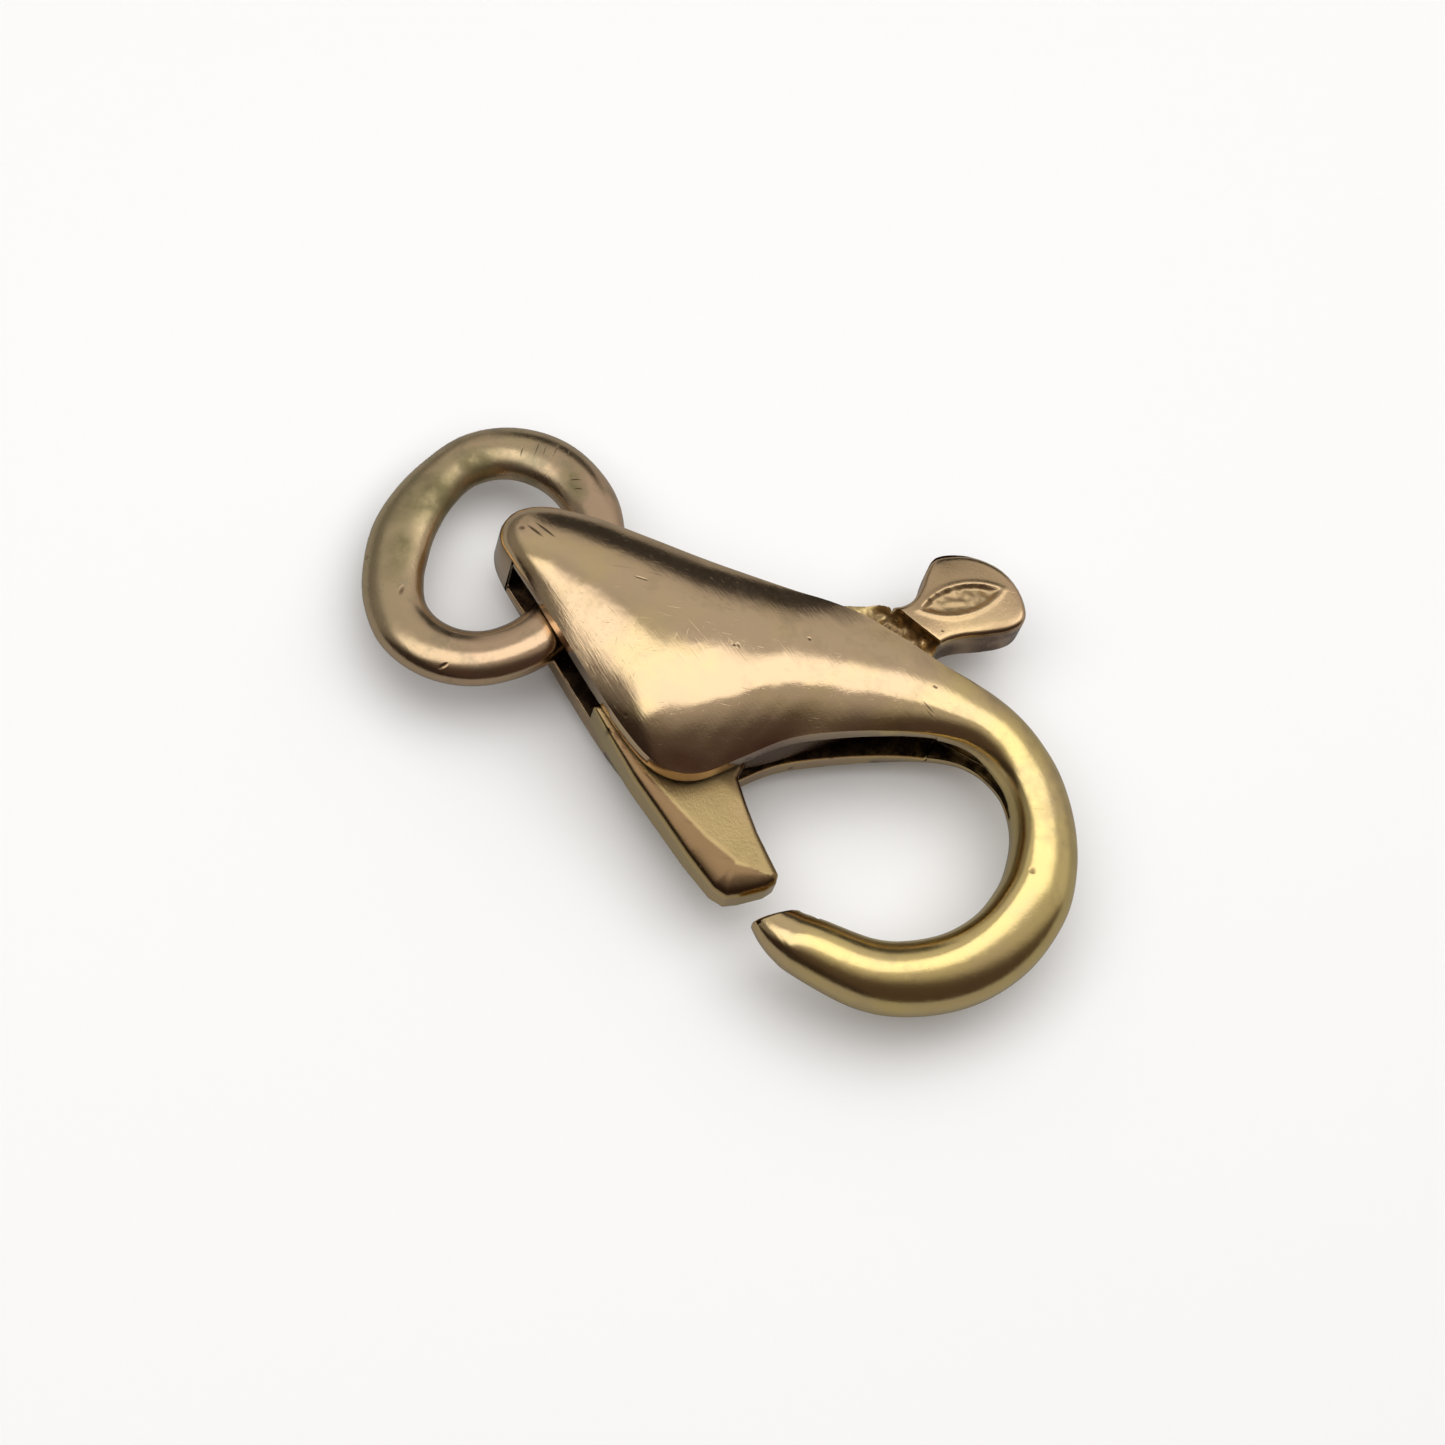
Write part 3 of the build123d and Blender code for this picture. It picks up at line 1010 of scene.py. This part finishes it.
leverFinish = dict(bodyFinish, **{
    "worn": True,
    "rose": (0.80, 0.56, 0.33),
    "yellow": (0.82, 0.62, 0.28),
    "yellowAxis": "Y",
    "yellowAlong": (5.6, 4.6),
    "tarnishShare": 0.25,
    "roughness": (0.10, 0.18),
    "satinAlong": (50, 60),            # nowhere on it
    "satinRough": 0.26,
    "satinShare": 0.7,
    "satinTone": (0.50, 0.36, 0.17),
    "grain": (9, 4, 0.7),
    "grainDepth": 0.018,
    "pitScale": 3.2,
    "marks": [
        (-3.04, -4.08, 3.34, 0, 0.28, 0.22),
        (2.90, 5.60, 3.50, 0, 0.14, 0.12),
    ],
    "stainsAndPaintedLight": [
        (4.30, 6.50, 2.20, 58, 3.00, 1.00),
        (1.50, 4.60, 3.10, 20, 2.60, 0.60),
        (-2.60, -4.10, 3.20, -20, 2.40, 0.40),
    ],
    # also the colour of the painted shade between the plates and of the painted dark reflection on the
    # gate's shoulder
    "stainAndPaintedLightTone": (0.13, 0.06, 0.035),
    "stainAndPaintedLightShare": 0.92,
    "stainAndPaintedLightRough": 0.12,
})

ringFinish = dict(bodyFinish, **{
    "rose": (0.74, 0.52, 0.33),
    "yellow": (0.66, 0.52, 0.30),
    "yellowAlong": (-8.0, -13.0),
    "tarnish": (0.36, 0.32, 0.20),
    "tarnishSide": 125,
    "tarnishFrom": (4.0, 11.0),
    "tarnishShare": 0.7,
    "roughness": (0.13, 0.22),
    "satinAlong": (-8, -13),
    "marks": [
        (-8.38, -5.62, 2.96, 60, 0.34, 0.16),
        (-11.04, -4.40, 2.64, 110, 0.45, 0.20),
        (-11.22, 1.90, 2.60, 116, 0.42, 0.04),
        (-10.90, 2.26, 2.68, 109, 0.66, 0.05),
        (-10.66, 2.36, 2.72, 113, 0.50, 0.03),
        (-10.40, 2.62, 2.78, 101, 0.72, 0.05),
        (-10.02, 2.80, 2.86, 104, 0.38, 0.04),
        (-9.24, 2.12, 2.97, 40, 0.50, 0.05),
        (-8.96, 1.92, 2.98, 36, 0.36, 0.04),
    ],
    "stainsAndPaintedLight": [
        (-12.45, -1.10, 2.35, 82, 4.20, 1.90),
        (-11.95, -3.30, 2.45, 108, 2.80, 1.30),
        (-12.10, 0.70, 2.30, 48, 2.40, 1.30),
        (-9.20, 2.05, 2.80, -35, 1.80, 0.90),
    ],
    "stainAndPaintedLightTone": (0.27, 0.23, 0.11),
    "stainAndPaintedLightShare": 0.85,
    "stainAndPaintedLightRough": 0.22,
})

# painted shade: the slot's inner faces get a rough cast finish coloured near black for the shade
# between the plates
slotShadeFinish = dict(bodyFinish, **{
    "rose": (0.07, 0.04, 0.020),
    "yellow": (0.20, 0.13, 0.045),
    # this near black tarnish, covering almost all of it, is painted shade
    "tarnish": (0.02, 0.012, 0.008),
    "tarnishFrom": (-20.0, -19.0),
    "tarnishShare": 0.95,
    "clouds": (2.2, 6, 0.62),
    "roughness": (0.3, 0.5),
    "waveDepth": 0.10,
    "pitScale": 4.0,
    "pitShare": 0.5,
    "pitDepth": 0.05,
    "marks": [],
    "stainsAndPaintedLight": [],
})

pinFinish = dict(bodyFinish, **{
    "roughness": (0.22, 0.34),
    "brushed": [(0, 20, 0.001), (3, 26, 0.001)],
    "pitShare": 0.2,
    "marks": [],
    "stainsAndPaintedLight": [],
})

print("finishes")
bodyGold = makeGold("bodyGold", bodyFinish)
slotShadeGold = makeGold("slotShadeGold", slotShadeFinish)
leverGold = makeGold("leverGold", leverFinish)
ringGold = makeGold("ringGold", ringFinish)
pinGold = makeGold("pinGold", pinFinish)
clawCasting.data.materials.append(bodyGold)
clawCasting.data.materials.append(slotShadeGold)
leverCasting.data.materials.append(leverGold)
tailRingWire.data.materials.append(ringGold)
pivotRod.data.materials.append(pinGold)
# the slot's inner faces take the painted shade
for face in clawCasting.data.polygons:
    if insideSlot(clawBody, face):
        face.material_index = 1


# Camera at the photograph's angle

camera = {
    "elevation": 67.0,                 # above the floor
    "turn": 17.0,                      # of the clasp's long axis in the picture's floor plan
    "roll": 22.5,
    "distance": 150.0,                 # mm
    "target": (-0.60, -1.20),
    "focalPixels": 4770,
    "imagePixels": 1445,
    "sensor": 36.0,
    "clipStart": 0.01,                 # m
}


def makeCamera(size):
    turn, tilt, roll = (math.radians(size[key]) for key in ("turn", "elevation", "roll"))
    right = Vector((math.cos(turn), math.sin(turn), 0))
    look = Vector((-math.sin(turn) * math.cos(tilt), math.cos(turn) * math.cos(tilt), -math.sin(tilt)))
    up = right.cross(look)
    across = right * math.cos(roll) + up * math.sin(roll)
    upward = up * math.cos(roll) - right * math.sin(roll)
    target = Vector((*size["target"], midPlane))
    eye = target - look * size["distance"]
    data = bpy.data.cameras.new("camera")
    data.sensor_width = size["sensor"]
    data.lens = size["sensor"] * size["focalPixels"] / size["imagePixels"]
    data.clip_start = size["clipStart"]
    view = bpy.data.objects.new("camera", data)
    bpy.context.scene.collection.objects.link(view)
    turnTo = Matrix((across, upward, -look)).transposed().to_4x4()
    view.matrix_world = Matrix.Translation(eye * mm) @ turnTo
    bpy.context.scene.camera = view


makeCamera(camera)


# Floor and light

studio = {
    "floorWidth": 1.2,                 # m
    "floorTone": 0.92,
    "floorRoughness": 0.8,
    "floorInGold": 0.30,               # the floor's tone in the gold's reflections
    "brightSide": 145,                 # azimuth that the long light is moved to
    "stripHeight": 100,                # mm
    "stripShift": 0,                   # along its length
    "stripLength": 236,
    "strips": [                        # to the bright side, width, brightness
        (16, 58, 0.95),
        (40, 8, 0.80),
    ],
    "fillWidth": 900,                  # soft light for the floor, not seen in the gold
    "fillHeight": 600,
    "fillBrightness": 1.3,
    "backdrop": (0.86, 0.86, 0.86),
    "roomSide": 130,                   # azimuth of the bright half of the room
    "room": [                          # degrees from overhead towards the bright half, colour
        (-90, (0.060, 0.042, 0.036)),
        (-45, (0.070, 0.050, 0.044)),
        (-32, (0.10, 0.080, 0.070)),
        (-22, (0.26, 0.24, 0.22)),
        (-12, (0.42, 0.40, 0.38)),
        (28, (0.46, 0.45, 0.44)),
        (45, (0.52, 0.51, 0.50)),
        (62, (0.44, 0.42, 0.41)),
        (90, (0.36, 0.35, 0.34)),
    ],
    "dimEnd": {                        # the room dims towards the tail's near side
        "azimuth": 220,
        "from": 42,                    # degrees from overhead
        "to": 56,
        "left": 0.45,                  # share of its light
    },
    "darkShelf": {                     # dark edge of the room beyond the far side
        "azimuth": (99, 133),
        "elevation": (3, 28),
        "tone": 0.10,
        "soft": 2,                     # degrees, half the width of its soft edge
    },
}


def makeFloor(size):
    deselectAll()
    bpy.ops.mesh.primitive_plane_add(size=size["floorWidth"])
    floor = bpy.context.object
    floor.name = "floor"
    material = bpy.data.materials.new("paleFloor")
    material.use_nodes = True
    tree = material.node_tree
    shader = tree.nodes["Principled BSDF"]
    shader.inputs["Roughness"].default_value = size["floorRoughness"]
    shader.inputs["Specular IOR Level"].default_value = 0
    rays = addNode(tree, "LightPath")
    seen, reflected = (size["floorTone"],) * 3, (size["floorInGold"],) * 3
    tone = mixColours(tree, rays.outputs["Is Glossy Ray"], seen, reflected)
    joinNodes(tree, (tone, shader.inputs["Base Color"]))
    floor.data.materials.append(material)


def makeStrip(size, aside, width, brightness):
    bright = math.radians(size["brightSide"])
    along = Vector((math.sin(bright), -math.cos(bright), 0))
    across = Vector((math.cos(bright), math.sin(bright), 0))
    place = across * aside + along * size["stripShift"]
    data = bpy.data.lights.new("stripBox", "AREA")
    data.shape = "RECTANGLE"
    data.size = size["stripLength"] * mm
    data.size_y = width * mm
    data.energy = brightness * math.pi * data.size * data.size_y
    strip = bpy.data.objects.new("stripBox", data)
    strip.location = (place + Vector((0, 0, size["stripHeight"]))) * mm
    strip.rotation_euler = (0, 0, math.atan2(along.y, along.x))
    bpy.context.scene.collection.objects.link(strip)


def makeFill(size):
    data = bpy.data.lights.new("fillBox", "AREA")
    data.size = size["fillWidth"] * mm
    data.energy = size["fillBrightness"] * math.pi * data.size ** 2
    fill = bpy.data.objects.new("fillBox", data)
    fill.location = (0, 0, size["fillHeight"] * mm)
    fill.visible_glossy = False
    bpy.context.scene.collection.objects.link(fill)


def shelfOf(tree, axes, shelf):
    # 1 inside the dark edge, 0 outside
    height = mathOf(tree, "ARCSINE", axes.outputs["Z"])
    around = mathOf(tree, "ARCTAN2", axes.outputs["Y"], axes.outputs["X"])
    soft = math.radians(shelf["soft"])
    inside = None
    for value, (low, high) in ((height, shelf["elevation"]), (around, shelf["azimuth"])):
        low, high = math.radians(low), math.radians(high)
        for start, end in ((low - soft, low + soft), (high + soft, high - soft)):
            edge = spread(tree, value, start, end)
            inside = edge if inside is None else mathOf(tree, "MULTIPLY", inside, edge)
    return inside


def makeRoom(size):
    world = bpy.data.worlds.new("studio")
    bpy.context.scene.world = world
    world.use_nodes = True
    tree = world.node_tree
    place = addNode(tree, "TexCoord").outputs["Generated"]
    axes = addNode(tree, "SeparateXYZ")
    joinNodes(tree, (place, axes.inputs[0]))
    up = axes.outputs["Z"]

    # bright half and dark half
    lean = mathOf(tree, "ARCTAN2", towardsSide(tree, place, size["roomSide"]), up)
    ramp = addNode(tree, "ValToRGB")
    stops = ramp.color_ramp.elements         # two to begin with
    for i, (angle, colour) in enumerate(size["room"]):
        stop = stops[i] if i < 2 else stops.new(0.999)
        stop.position = (angle + 90) / 180
        stop.color = (*colour, 1)
    joinNodes(tree, (spread(tree, lean, -math.pi / 2, math.pi / 2), ramp.inputs["Fac"]))

    end = size["dimEnd"]
    lean = mathOf(tree, "ARCTAN2", towardsSide(tree, place, end["azimuth"]), up)
    dim = spread(tree, lean, math.radians(end["from"]), math.radians(end["to"]), 0, 1 - end["left"])
    shelf = size["darkShelf"]
    dark = mathOf(tree, "MULTIPLY", shelfOf(tree, axes, shelf), 1 - shelf["tone"])
    shade = mathOf(tree, "MAXIMUM", dim, dark)
    colour = mixColours(tree, shade, ramp.outputs["Color"], (0.0, 0.0, 0.0))
    rays = addNode(tree, "LightPath")
    colour = mixColours(tree, rays.outputs["Is Camera Ray"], colour, size["backdrop"])
    joinNodes(tree, (colour, tree.nodes["Background"].inputs["Color"]))


print("studio")
makeFloor(studio)
for strip in studio["strips"]:
    makeStrip(studio, *strip)
makeFill(studio)
makeRoom(studio)
bpy.context.scene.view_settings.view_transform = "Standard"
